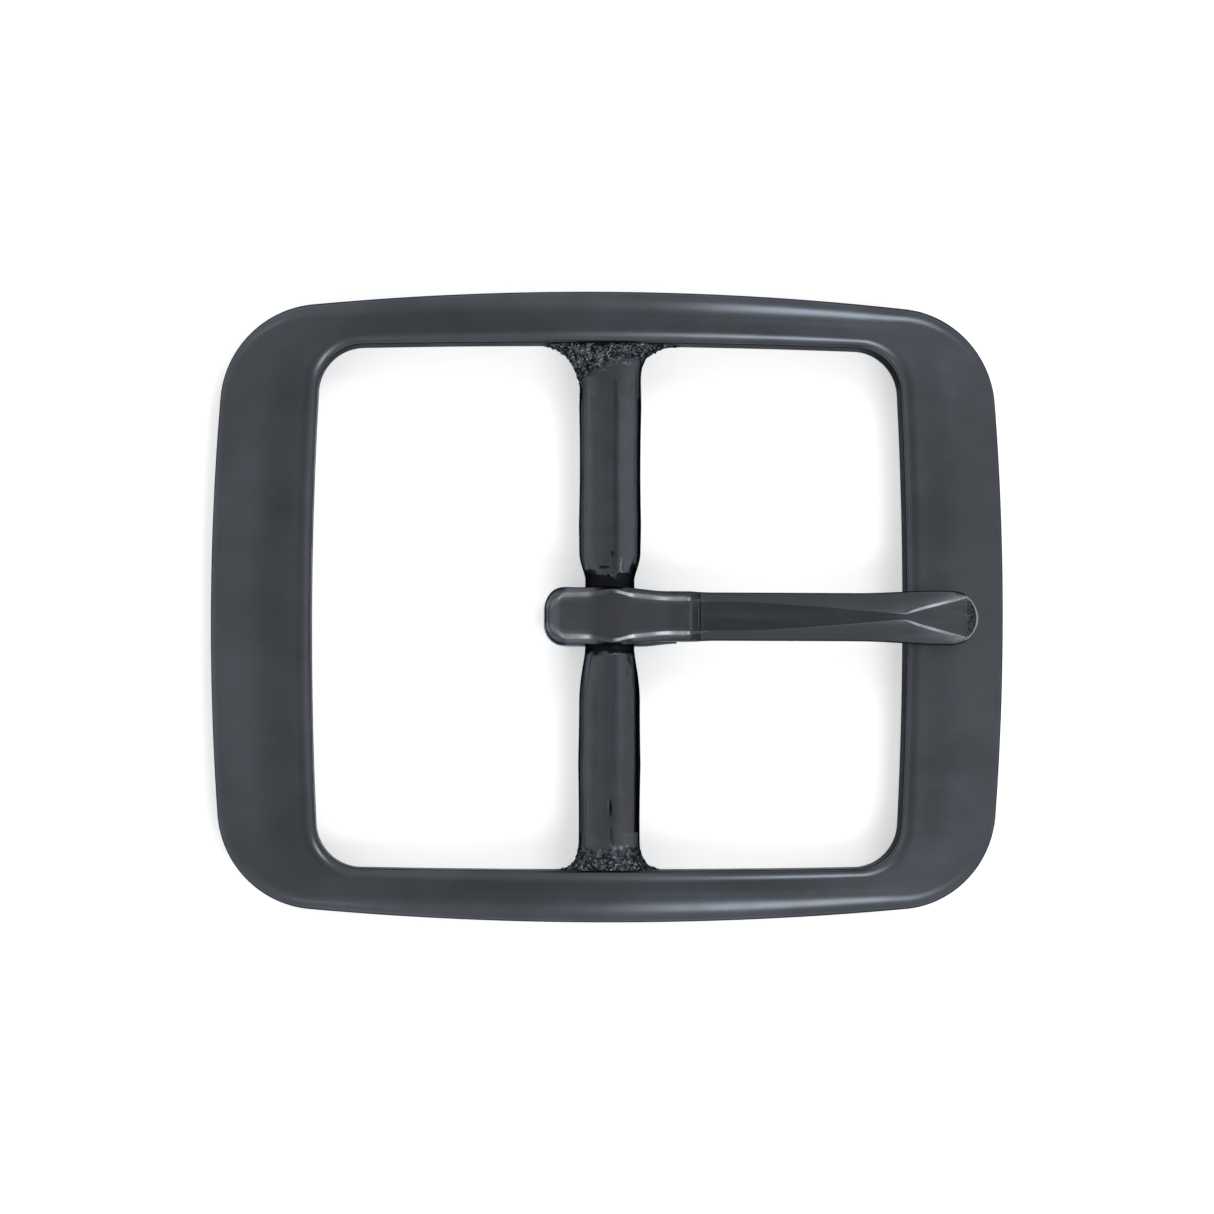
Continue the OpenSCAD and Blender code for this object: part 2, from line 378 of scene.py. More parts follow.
def outline(f, w, h, r, side_r, long_r):
    """Point at f on a quarter outline, from 0 at the middle of the side to 1 at the middle of the rail."""
    side_x = w / 2 - side_r
    long_y = h / 2 - long_r
    ds = side_r - r
    dt = long_r - r
    gap = (side_x * side_x + long_y * long_y).sqrt()
    k = (ds * ds - dt * dt + gap * gap) / (2 * gap)
    rise = (ds * ds - k * k).sqrt()
    cx = side_x - (k * side_x + rise * long_y) / gap
    cy = (k * long_y - rise * side_x) / gap
    side_end = cy.atan2(cx - side_x)
    long_start = (cy - long_y).atan2(cx)
    side_share = 0.36
    corner_share = 0.3
    on_long = ((f - side_share - corner_share) / (1 - side_share - corner_share)).clamp()
    t_side = (f / side_share).clamp() * side_end
    t_corner = side_end + ((f - side_share) / corner_share).clamp() * (long_start - side_end)
    t_long = long_start + on_long * (math.pi / 2 - long_start)
    x = side_x + side_r * t_side.cos() + r * (t_corner.cos() - side_end.cos()) \
        + long_r * (t_long.cos() - long_start.cos())
    y = side_r * t_side.sin() + r * (t_corner.sin() - side_end.sin()) \
        + long_r * (t_long.sin() - long_start.sin())
    return x, y


def frame_sizes():
    """The named inputs of the frame's tree, in metres."""
    return {
        "Width": FRAME_W * MM, "Height": FRAME_H * MM,
        "Corner Radius": OUTER_CORNER_R * MM,
        "Side Bow": SIDE_BOW_R * MM, "Rail Bow": RAIL_BOW_R * MM,
        "Window Width": WINDOW_W * MM, "Window Height": WINDOW_H * MM,
        "Window Corner Radius": INNER_CORNER_R * MM,
        "Window Side Bow": WINDOW_SIDE_BOW_R * MM, "Window Rail Bow": WINDOW_RAIL_BOW_R * MM,
        "Arch Radius": ARCH_R * MM, "Front Height": FRONT_Z * MM, "Depth": METAL_T * MM,
        "Crown": SIDE_CROWN * MM, "Back Edge": 0.25 * MM,
        "Side Bevel": 0.5 * MM, "Side Bevel Depth": 0.42 * MM,
        "Rail Bevel": 1.9 * MM, "Rail Bevel Depth": 0.86 * MM,
        "Inner Bevel": 1.15 * MM, "Inner Depth": 0.66 * MM,
        "Cast Grain": 0.3 * MM, "Cast Height": 0.075 * MM,
    }


def ring_tree(material):
    """The arched ring: a grid bent round the outline one way and round the section the other way."""
    g, size = shape_tree("buckle_ring", frame_sizes())
    grid = g.node("GeometryNodeMeshGrid", inputs={
        "Size X": 1, "Size Y": 1, "Vertices X": RING_STATIONS + 1, "Vertices Y": sum(SECTION_STEPS) + 1})
    u, v, _ = g.split(g.node("GeometryNodeInputPosition"))
    turn = (u + 0.5) * 4
    nudge = 0.00001
    quarter = (turn + nudge).floor()
    f = (turn - quarter).clamp()
    odd = quarter.near(1, 0.5) + quarter.near(3, 0.5)
    f = f + odd * (1 - 2 * f)
    side = 1 - 2 * quarter.near(1.5, 0.6)
    end = 1 - 2 * quarter.near(2.5, 0.6)

    outer_x, outer_y = outline(f, size["Width"], size["Height"], size["Corner Radius"],
                               size["Side Bow"], size["Rail Bow"])
    inner_x, inner_y = outline(f, size["Window Width"], size["Window Height"], size["Window Corner Radius"],
                               size["Window Side Bow"], size["Window Rail Bow"])
    reach_x = inner_x - outer_x
    reach_y = inner_y - outer_y
    width = (reach_x * reach_x + reach_y * reach_y).sqrt()
    # From the side to the rail the crown flattens early, and the outer bevel widens later.
    on_rail = f.ease(0.26, 0.54)
    widening = f.ease(0.36, 0.72)
    bevel = size["Side Bevel"] + (size["Rail Bevel"] - size["Side Bevel"]) * widening
    deep = size["Side Bevel Depth"] + (size["Rail Bevel Depth"] - size["Side Bevel Depth"]) * widening

    share = []
    start = 0
    for steps in SECTION_STEPS:
        low = start / sum(SECTION_STEPS)
        high = (start + steps) / sum(SECTION_STEPS)
        share.append(((v + (0.5 - low)) / (high - low)).clamp())
        start += steps
    quarter_turn = math.pi / 2
    rise = (share[2] * quarter_turn).sin()
    run = 1 - (share[2] * quarter_turn).cos()
    fall = 1 - (share[4] * quarter_turn).cos()
    reach_in = (share[4] * quarter_turn).sin()
    back = size["Back Edge"]
    crown = size["Crown"] * (1 - 0.95 * on_rail)
    hump = 4 * share[3] * (1 - share[3])
    across = back - back * (share[0] * quarter_turn).sin() + bevel * run \
        + (width - bevel - size["Inner Bevel"]) * share[3] + size["Inner Bevel"] * reach_in \
        - back * (1 - (share[6] * quarter_turn).cos()) - (width - 2 * back) * share[7]
    below = size["Depth"] - back * (1 - (share[0] * quarter_turn).cos()) \
        - (size["Depth"] - back - deep) * share[1] - deep * rise \
        - crown * hump * hump + size["Inner Depth"] * fall \
        + (size["Depth"] - back - size["Inner Depth"]) * share[5] + back * (share[6] * quarter_turn).sin()
    x = outer_x + reach_x * across / width
    y = outer_y + reach_y * across / width
    arch = size["Arch Radius"]
    drop = arch - (arch * arch - x * x).sqrt()
    z = (size["Front Height"] - drop - below).least(0)
    place = g.join(x * side, y * end, z)
    bent = g.node("GeometryNodeSetPosition", inputs={"Geometry": grid, "Position": place})

    # What the finishes follow: the way round, the way across, the creases, and the rough walls of the
    # casting, whose colour is painted dark as shade.
    lengthwise = f * ((size["Width"] + size["Height"]) / 2)
    # The rough wall, painted dark as shade, starts higher on the rails, and highest at the right window's
    # corners.
    right_corner = (x * side / MM).ease(14, 20) * (y / MM).ease(8, 17)
    wall = (0.7 - 0.25 * on_rail - 0.3 * right_corner).least(0.15)
    wall_blend = 0.18
    cast = ((share[4] - wall) / wall_blend).clamp() * (1 - share[7].ease(0.8, 1))
    crease = on_rail * share[2].ease(0.5, 0.9) * (1 - share[3].ease(0, 0.12)) \
        + share[3].ease(0.88, 1) * (1 - share[4].ease(0.1, 0.5)) * on_rail
    stored = bent
    marks = {
        "track": ("FLOAT_VECTOR", g.join(lengthwise, across, side * f * size["Height"])),
        "cast": ("FLOAT", cast),
        "crease": ("FLOAT", crease),
    }
    for name, (kind, value) in marks.items():
        stored = g.node("GeometryNodeStoreNamedAttribute", {"data_type": kind, "domain": "POINT"},
                        {"Geometry": stored, "Name": name, "Value": value})
    joined = g.node("GeometryNodeMergeByDistance", inputs={"Geometry": stored, "Distance": RING_WELD * MM})

    # As-cast roughness on the inner walls, strongest at the two corners of the right window.
    px, py, _ = g.split(g.node("GeometryNodeInputPosition"))
    at_corner = (px / MM).ease(15, 20.5) * (py.math("ABSOLUTE") / MM).ease(9.5, 17.5)
    mask = g.node("GeometryNodeInputNamedAttribute", {"data_type": "FLOAT"}, {"Name": "cast"})
    grain = g.node("ShaderNodeTexNoise", {"noise_dimensions": "3D"}, {
        "Vector": g.node("GeometryNodeInputPosition"), "Scale": 1 / size["Cast Grain"], "Detail": 2.0})
    height = (grain - 0.5) * size["Cast Height"] * mask * (0.35 + 1.4 * at_corner)
    return lifted_and_dressed(g, joined, height, material)


def frame_ring(material):
    return grown("frame_ring", ring_tree(material), frame_sizes())


# ---------------------------------------------------------------- bar and fillets

BAR_SIDES = 132
BAR_STEPS = 360
# How square the oval is, 2 being a plain oval, and how deep its eight soft bands are.
NECK_SQUARE = 2
BAR_SQUARE = 2.45
FILLET_SQUARE = 2.6
BAR_BAND_DEPTH = 0.035

# Hollows in the bar's front: centre, reach and depth. The parting groove's two runs near the lower end,
# a scar below the claw, and two dents above it.
HOLLOWS = (((0.02, -15.05), (0.16, 0.8), 0.12), ((0.04, -17.35), (0.14, 1.1), 0.07),
           ((1.4, -4.9), (0.35, 0.75), 0.1), ((-0.5, 2.9), (0.6, 0.3), 0.06),
           ((0.75, 3.0), (0.3, 0.9), 0.08))


def bar_ring(y, half_w, half_d, squareness, facet):
    """A ring round the bar at y: an oval with softly flattened bands."""
    ring = []
    power = 2 / squareness
    for i in range(BAR_SIDES):
        a = 2 * math.pi * i / BAR_SIDES
        flat = 1 - facet * (1 - math.cos(8 * a)) / 2
        x = math.copysign(abs(math.cos(a)) ** power, math.cos(a)) * half_w * flat
        z = math.copysign(abs(math.sin(a)) ** power, math.sin(a)) * half_d * flat
        ring.append([x, y, AXIS_Z + z])
    return ring


def bar_stations():
    """Even places along the bar, from inside one rail to inside the other."""
    low = -RAIL_Y - BAR_IN_RAIL
    high = RAIL_Y + BAR_IN_RAIL
    return [low + (high - low) * i / BAR_STEPS for i in range(BAR_STEPS + 1)]


def hollow(point, centre, reach, depth):
    """Presses a dent of that reach and depth into the bar's front at centre."""
    away = math.hypot((point[0] - centre[0]) / reach[0], (point[1] - centre[1]) / reach[1])
    if point[2] > AXIS_Z and away < 1:
        point[2] -= depth * (1 - away * away) ** 2


def centre_bar():
    """The bar: oval and softly banded, necked under the claw, with the marks of its casting."""
    rings = []
    for y in bar_stations():
        # The lower shoulder is twice as long as the upper one.
        shoulder = SHOULDER_LEN if y > NECK_Y else 2 * SHOULDER_LEN
        up_shoulder = min(1, max(0, (abs(y - NECK_Y) - NECK_LEN / 2 + 0.3) / shoulder))
        out = math.sin(up_shoulder * math.pi / 2) ** 1.3
        waver = 0.06 * math.sin(0.35 * y + 1)
        half_w = lerp(NECK_D / 2, BAR_W / 2, out) - abs(waver) * out
        half_d = lerp(NECK_D / 2, BAR_D / 2, out)
        ring = bar_ring(y, half_w, half_d, lerp(NECK_SQUARE, BAR_SQUARE, out), BAR_BAND_DEPTH * out)
        for point in ring:
            for centre, reach, depth in HOLLOWS:
                hollow(point, centre, reach, depth)
        rings.append(ring)
    return make_piece("centre_bar_turned", loft("centre_bar_turned", rings))


# The fillets: name, the CAD node they stand for, which end of the bar, length, reach, how tightly the left
# and the right flank curve, and seed.
FILLETS = (("upper_fillet", "upper_braze", 1, 4.1, 2.9, (2.3, 5), 3),
           ("lower_fillet", "lower_braze", -1, 2.8, 1.6, (4, 4), 8))
FILLET_STEPS = 90
FILLET_IN_RAIL = 0.35

# The grain starts at this height above and below the axis. On the upper fillet its start slants, lower on
# the left, and rises at most this far on the right.
GRAIN_Y = 18.25
GRAIN_SLANT = 0.6
GRAIN_RIGHT_RISE = 0.3
GRAIN = {"Grain Size": 0.34 * MM, "Grain Height": 0.24 * MM, "Lump Height": 0.34 * MM, "Seed": 3 * MM}


def fillet_shell(name, side, length, reach, flanks):
    """The smooth body of a fillet. side is 1 at the top rail and -1 at the bottom.
    flanks says how tightly its left and its right flank curve."""
    rings = []
    top = RAIL_Y + FILLET_IN_RAIL
    within = 0.06
    half_w = BAR_W / 2 - within
    for i in range(FILLET_STEPS + 1):
        y = lerp(RAIL_Y - length, top, i / FILLET_STEPS)
        up = min(1, max(0, 1 - (RAIL_Y - y) / length))
        flares = [1 - math.sqrt(max(0, 1 - up ** tightness)) for tightness in flanks]
        half_d = lerp(BAR_D / 2 - within, BAR_D / 2 + 2 * within, smooth(0, 1, up))
        ring = bar_ring(y * side, half_w, half_d, FILLET_SQUARE, 0)
        for point in ring:
            out = point[0] / half_w
            point[0] += out * reach * flares[out > 0]
            point[2] = max(point[2], lerp(AXIS_Z - BAR_D / 2, FRONT_Z - METAL_T, smooth(0, 1, up)))
        rings.append(ring)
    return loft(name, rings)


def grain_tree(material):
    """Raises grains all over a mesh, fading out where its fade attribute is 0."""
    g, size = shape_tree("cast_grain", GRAIN, takes_mesh=True)
    finer = g.node("GeometryNodeSubdivideMesh", inputs={"Mesh": size["Geometry"], "Level": 1})
    place = g.node("GeometryNodeInputPosition")
    seed = g.join(size["Seed"], 0.0, 0.0)
    shift = g.node("ShaderNodeVectorMath", {"operation": "ADD"}, {0: place, 1: seed})
    pebbles = g.node("ShaderNodeTexVoronoi", {"feature": "SMOOTH_F1"}, {
        "Vector": shift, "Scale": 1 / size["Grain Size"], "Smoothness": 0.35, "Randomness": 1.0})
    lumps = g.node("ShaderNodeTexNoise", inputs={
        "Vector": shift, "Scale": 0.4 / size["Grain Size"], "Detail": 2.0})
    fade = g.node("GeometryNodeInputNamedAttribute", {"data_type": "FLOAT"}, {"Name": "fade"})
    height = ((0.45 - pebbles) * size["Grain Height"] + (lumps - 0.5) * size["Lump Height"]) * fade
    return lifted_and_dressed(g, finer, height, material)


def grainy_fillet(name, tree, side, length, reach, flanks, seed):
    mesh = fillet_shell(name, side, length, reach, flanks)
    fade = mesh.attributes.new("fade", "FLOAT", "POINT")
    for i, vertex in enumerate(mesh.vertices):
        x, y = vertex.co.x / MM, abs(vertex.co.y) / MM
        in_rail = smooth(RAIL_Y + 0.1, RAIL_Y + 0.3, y)
        start = GRAIN_Y + min(GRAIN_RIGHT_RISE, GRAIN_SLANT * x) * (vertex.co.y > 0)
        grainy = smooth(-0.6, 0.5, y - start)
        fade.data[i].value = (1 - in_rail) * lerp(0.03, 1, grainy)
    return grown(name, tree, {**GRAIN, "Seed": seed * MM}, mesh)


# ---------------------------------------------------------------- tongue

# Swells along the claw's top: place, reach and height. The last is a fine groove near its back.
NECK_SWELL = 0.13
CLAW_SWELLS = ((0.1, 1.7, NECK_SWELL), (3.2, 1.6, 0.05), (-2.4, 0.9, 0.02), (-3.45, 0.3, -0.03))


def claw_top(x):
    """Height of the claw's top, which is highest over the neck."""
    swell = sum(height * bump(place, reach, x) for place, reach, height in CLAW_SWELLS)
    return CLAW_TOP - NECK_SWELL + swell


def blade_top(x):
    """Height along the middle of the blade: up to the rounded ridge, down the fan and over the nose."""
    start = CLAW_TOP - STEP_H
    ridge = start + RIDGE_RISE
    rise = lerp(start, ridge, (x - STEP_X) / (RIDGE_X - STEP_X))
    fall = lerp(ridge, ridge - NOSE_FALL, (x - RIDGE_X) / (NOSE_X - RIDGE_X))
    # Takes the lower of the two slopes, eased where they meet.
    ease = 0.34
    share = min(1, max(0, 0.5 + 0.5 * (fall - rise) / ease))
    top = lerp(fall, rise, share) - ease * share * (1 - share)
    if x > NOSE_X:
        top -= NOSE_DROP * ((x - NOSE_X) / (TIP_X - NOSE_X)) ** 2
    return top


def blade_under(x):
    """Height of the blade's underside, which rests just clear of the side bar."""
    rest_x = WINDOW_W / 2 + 1
    root_z = CLAW_TOP - STEP_H - BLADE_T
    if x < rest_x:
        return lerp(root_z, front_at(rest_x) + REST_GAP, (x - BLADE_X) / (rest_x - BLADE_X))
    return front_at(x) + REST_GAP


def arc_path(x, z, radius, start, end, steps):
    """Points on an arc of that radius about (x, z), from angle start to angle end in degrees."""
    path = []
    for i in range(steps + 1):
        a = math.radians(lerp(start, end, i / steps))
        path.append((x + radius * math.cos(a), z + radius * math.sin(a)))
    return path


def evenly(path, count):
    """count + 1 points spaced evenly along a polyline."""
    lengths = [0]
    for a, b in zip(path, path[1:]):
        lengths.append(lengths[-1] + math.dist(a, b))
    out = []
    k = 0
    for i in range(count + 1):
        want = lengths[-1] * i / count
        while k < len(path) - 2 and lengths[k + 1] < want:
            k += 1
        span = lengths[k + 1] - lengths[k]
        t = (want - lengths[k]) / span if span else 0
        out.append((lerp(path[k][0], path[k + 1][0], t), lerp(path[k][1], path[k + 1][1], t)))
    return out


def along_top(start, end, count):
    """Points along the claw's top from start to end."""
    return [(x, claw_top(x)) for x in (lerp(start, end, i / count) for i in range(count + 1))]


def claw_stations():
    """Pairs of outer and inner points along the claw: from the jaw's end, round the neck, to the blade."""
    below_r = 1.9
    behind_r = 1.4
    jaw_r = 1
    slit_a = math.degrees(math.asin((SLIT_LOW - AXIS_Z) / BORE_R))
    slit_b = math.degrees(math.asin((SLIT_HIGH - AXIS_Z) / BORE_R))
    slit_x = BORE_R * math.cos(math.radians(slit_a))
    back_x = CLAW_X + behind_r
    over_x = 3.7
    jaw_root_x = slit_x + 0.6
    throat_x = STEP_X - 0.6

    # The jaw, closed under the neck.
    jaw_end = arc_path(JAW_X - jaw_r, CLAW_BOTTOM + jaw_r, jaw_r, -5, -90, 8)
    jaw_outer = evenly(jaw_end + [(jaw_root_x, CLAW_BOTTOM)], 30)
    jaw_inner = evenly([(JAW_X - 0.15, SLIT_LOW), (slit_x, SLIT_LOW)], 30)
    # Round the neck: below, behind and above.
    below = evenly([(jaw_root_x, CLAW_BOTTOM), (0, CLAW_BOTTOM)], 14)
    bore_below = arc_path(0, AXIS_Z, BORE_R, slit_a, -90, 14)
    behind = [(0, CLAW_BOTTOM)]
    behind += arc_path(CLAW_X + below_r, CLAW_BOTTOM + below_r, below_r, -90, -180, 10)
    behind += arc_path(back_x, claw_top(back_x) - behind_r, behind_r, -180, -268, 12)
    behind += along_top(back_x, 0, 40)
    around = evenly(behind, 120)
    bore_behind = arc_path(0, AXIS_Z, BORE_R, -90, -270, 120)
    above = along_top(0, over_x, 36)
    bore_above = arc_path(0, AXIS_Z, BORE_R, 90, slit_b, 36)
    # Above the slit, up to the lip.
    body = along_top(over_x, LIP_X, 28)
    roof_x = BORE_R * math.cos(math.radians(slit_b))
    slit_roof = evenly([(roof_x, SLIT_HIGH), (throat_x, SLIT_HIGH)], 28)
    # The lip's slope, down to the blade.
    foot_x = LIP_X + 0.95
    slope = rounded([(LIP_X, claw_top(LIP_X)), (LIP_X + 0.28, claw_top(LIP_X) - 0.02),
                     (foot_x, blade_top(foot_x)), (BLADE_X, blade_top(BLADE_X))], (0.5, 0.12), 8)
    step = evenly(slope, 34)
    throat = evenly([(throat_x, SLIT_HIGH), (BLADE_X, blade_under(BLADE_X))], 34)
    pairs = list(zip(jaw_outer, jaw_inner))
    for outer, inner in ((below, bore_below), (around, bore_behind), (above, bore_above),
                         (body, slit_roof), (step, throat)):
        pairs += list(zip(outer, inner))[1:]
    return pairs


class Shape:
    """The tongue's section at one place: half-width, bevel, brow, crease, roundness, and rubbing with painted
    highlight.
    """

    def __init__(self, half, bevel, depth, brow, brow_depth, crease, roundness, rub_and_highlight):
        self.parts = (half, bevel, depth, brow, brow_depth, crease, roundness, rub_and_highlight)

    def toward(self, other, t):
        return Shape(*(lerp(a, b, t) for a, b in zip(self.parts, other.parts)))


def claw_shape(outer):
    """The section at a point of the claw's outside."""
    x, z = outer
    on_top = smooth(AXIS_Z + 1, AXIS_Z + 2.2, z)
    at_back = smooth(CLAW_X + 1.5, CLAW_X + 0.2, x)
    at_blade = smooth(LIP_X - 0.1, BLADE_X - 0.3, x)
    half = CLAW_W / 2 - 0.22 * smooth(2.6, JAW_X, x)
    top_half = lerp(CLAW_W / 2, BLADE_W / 2 + 0.06, smooth(0.3, 4.4, x)) - 0.06 * smooth(-0.8, -3, x)
    swell = bump(0.1, 1.6, x)
    # Painted highlight on the top's bevels, with rubbing: brightest behind the neck, and less in front of it.
    rub_and_highlight = 1.5 * smooth(-4.4, -3.6, x) * smooth(-1.2, -2, x)
    rub_and_highlight += 0.8 * smooth(1, 1.9, x) * smooth(LIP_X + 0.2, LIP_X - 0.3, x)
    under = Shape(half, 0.4, 0.35, 0.15, 0.05, 0.2, 0.7, 0)
    top = Shape(top_half, lerp(0.76, 0.5, swell), 0.52, 0.3, lerp(0.08, 0.05, swell), 0.22, 0.15, 0.85 * rub_and_highlight)
    behind = Shape(half, 1.6, 1.5, 0.5, 0.2, 0.3, 1, 0.3)
    return under.toward(top, on_top).toward(behind, at_back).toward(blade_shape(BLADE_X), at_blade)


def blade_stations():
    """Places along the blade, closing up round the nose."""
    straight = [lerp(BLADE_X, RIDGE_X - 1, i / 46) for i in range(1, 47)]
    fan = [lerp(RIDGE_X - 1, NOSE_C, i / 44) for i in range(1, 45)]
    nose = [NOSE_C + TIP_R * math.sin(math.radians(87.5 * i / 44)) for i in range(1, 45)]
    return straight + fan + nose


def blade_shape(x):
    """The section at x along the blade."""
    half = lerp(BLADE_W / 2, TIP_R, smooth(RIDGE_X - 3.5, NOSE_C - 0.8, x))
    if x > NOSE_C:
        half = math.sqrt(max(0, TIP_R * TIP_R - (x - NOSE_C) ** 2))
    # The flat band closes to a narrow ridge and opens again as the fan.
    closing = min(1, max(0, (x - BAND_X) / (RIDGE_X - BAND_X))) ** 1.25
    opening = min(1, max(0, (x - RIDGE_X) / (TIP_X - 1 - RIDGE_X)))
    flat = min(lerp(lerp(1.08, 0.2, closing), 1.5, opening), half * 0.82)
    depth = lerp(lerp(0.38, 0.85, closing), 0.62, opening) * half / TIP_R
    on_fan = smooth(RIDGE_X - 0.8, RIDGE_X + 1.2, x)
    brow = lerp(0.06, 0.22, on_fan) * half / TIP_R
    bevel = half - flat
    if x > NOSE_C:
        depth = min(depth, 0.9 * bevel)
    brow_depth = depth * brow / bevel * lerp(1, 0.55, on_fan)
    # Painted highlight on the fan's ridges, with rubbing.
    rub_and_highlight = 0.62 * smooth(RIDGE_X, TIP_X - 1.4, x) * smooth(TIP_X - 0.6, TIP_X - 1, x)
    return Shape(half, bevel, depth, brow, brow_depth, lerp(0.08, 0.14, on_fan), 0, rub_and_highlight)


def section(shape, thick):
    """One side of the section, from the middle of its outside to the middle of its inside."""
    half, bevel, depth, brow, brow_depth, crease, roundness, rub_and_highlight = shape.parts
    flat = half - bevel
    squash = min(1, thick * 0.55 / depth)
    depth *= squash
    eased = min(0.22, thick * 0.2, half * 0.3)
    steps = 5
    corners = [(0, 0), (flat, 0), (flat + brow, brow_depth * squash), (half, depth), (half, thick - eased),
               (half - eased, thick), (0, thick)]
    line = rounded(corners, (min(crease, flat * 0.5), crease, 0.3, eased * 0.6, eased * 0.6), steps)
    count = 3 * (steps + 1)
    for i in range(count):
        a = i / (count - 1) * math.pi / 2
        y, deep = line[1 + i]
        line[1 + i] = (lerp(y, flat + bevel * math.sin(a), roundness),
                       lerp(deep, depth * (1 - math.cos(a)), roundness))
    middle = [(lerp(0, line[1][0], i / 4), 0) for i in range(1, 4)]
    line = [line[0]] + middle + line[1:]
    marked = []
    # The painted highlight and rubbing go on the brow, the strip just past the flat.
    for y, deep in line:
        on_brow = smooth(flat - 0.06, flat + 0.04, y) * smooth(flat + brow + 0.12, flat + brow, y)
        marked.append((y, deep, rub_and_highlight * on_brow * (deep < depth + 0.01)))
    return marked


def tongue_ring(outer, inner, shape):
    """The skin's ring at one station: a bevelled outside, straight sides and an eased inside."""
    thick = math.dist(outer, inner)
    way = ((inner[0] - outer[0]) / thick, (inner[1] - outer[1]) / thick)
    side = section(shape, thick)
    whole = side + [(-y, deep, rub_and_highlight) for y, deep, rub_and_highlight in side[-2:0:-1]]
    return [(outer[0] + way[0] * deep, TONGUE_Y + y, outer[1] + way[1] * deep, rub_and_highlight) for y, deep, rub_and_highlight in whole]


def tongue():
    """Claw, blade and nose as one skin, drawn through rings from the jaw's end to the nose."""
    rings = [tongue_ring(outer, inner, claw_shape(outer)) for outer, inner in claw_stations()]
    for x in blade_stations():
        top = blade_top(x)
        under = min(blade_under(x), top - THINNEST)
        rings.append(tongue_ring((x, top), (x, under), blade_shape(x)))
    return make_piece("tongue_forged", loft("tongue_forged", rings))


# ---------------------------------------------------------------- finishes

class Finish(Graph):
    """A material that is written as expressions and shaded by one Principled shader."""

    def __init__(self, name, fixed):
        self.material = bpy.data.materials.new(name)
        self.material.use_nodes = True
        super().__init__(self.material.node_tree)
        self.tree.nodes.clear()
        self.shader = self.node("ShaderNodeBsdfPrincipled", inputs=fixed).socket.node
        self.node("ShaderNodeOutputMaterial", inputs={"Surface": Wire(self, self.shader.outputs[0])})
        self.place = self.node("ShaderNodeTexCoord", output="Object")

    def feed(self, name, wire):
        self.tree.links.new(wire.socket, self.shader.inputs[name])

    def stretched(self, vector, scale, shift=(0, 0, 0)):
        return self.node("ShaderNodeMapping", inputs={"Vector": vector, "Scale": scale, "Location": shift})

    def noise(self, vector, size, detail=3.0, rough=0.5):
        """Noise from 0 to 1 whose features are about size millimetres wide."""
        return self.node("ShaderNodeTexNoise", inputs={
            "Vector": vector, "Scale": 1 / (size * MM), "Detail": detail, "Roughness": rough})

    def cells(self, vector, size):
        """How far each place is from the middle of its cell. Cells are about size millimetres wide."""
        return self.node("ShaderNodeTexVoronoi", inputs={"Vector": vector, "Scale": 1 / (size * MM)})

    def attribute(self, name, output="Fac"):
        return self.node("ShaderNodeAttribute", {"attribute_name": name}, output=output)

    def mix(self, mask, a, b):
        """Colour a where mask is 0 and b where it is 1."""
        colours = {0: mask}
        for key, colour in ((6, a), (7, b)):
            colours[key] = colour if isinstance(colour, Wire) else (*colour, 1)
        return self.node("ShaderNodeMix", {"data_type": "RGBA"}, colours, output=2)

    def bump(self, height, depth):
        """A Bump node whose full height is depth millimetres."""
        return self.node("ShaderNodeBump", inputs={"Height": height, "Distance": depth * MM, "Strength": 1.0})


# Black nickel: its dark and light patches, the blade, the claw, filed and warm places, worn edges that also
# serve as painted highlights and glints, and pits that also serve as painted shade.
PLATE_DARK = (0.0685, 0.0745, 0.0845)
PLATE_LIGHT = (0.084, 0.092, 0.1055)
PLATE_BLADE = (0.056, 0.061, 0.069)
PLATE_CLAW = (0.096, 0.108, 0.122)
PLATE_FILED = (0.071, 0.071, 0.077)
PLATE_WARM = (0.08, 0.081, 0.081)
PLATE_WORN_AND_HIGHLIGHT = (0.27, 0.285, 0.3)
PLATE_PIT_AND_SHADE = (0.012, 0.013, 0.016)
# The plating stays dark at a slant too, so its edge tint is low.
METAL = {"Metallic": 1.0, "IOR": 2.0, "Specular Tint": (0.13, 0.14, 0.15, 1)}


def plate_colour(finish, patch_size):
    """Cloudy black nickel: dark and light patches with a faint warm one."""
    cloud = finish.noise(finish.place, patch_size, 4.0, 0.55)
    tone = finish.mix(cloud.ease(0.35, 0.66), PLATE_DARK, PLATE_LIGHT)
    elsewhere = finish.stretched(finish.place, (1, 1, 1), (0.013, 0.007, 0.002))
    tint = finish.noise(elsewhere, patch_size * 0.8, 2.0)
    return finish.mix(tint.ease(0.52, 0.75) * 0.55, tone, PLATE_WARM)


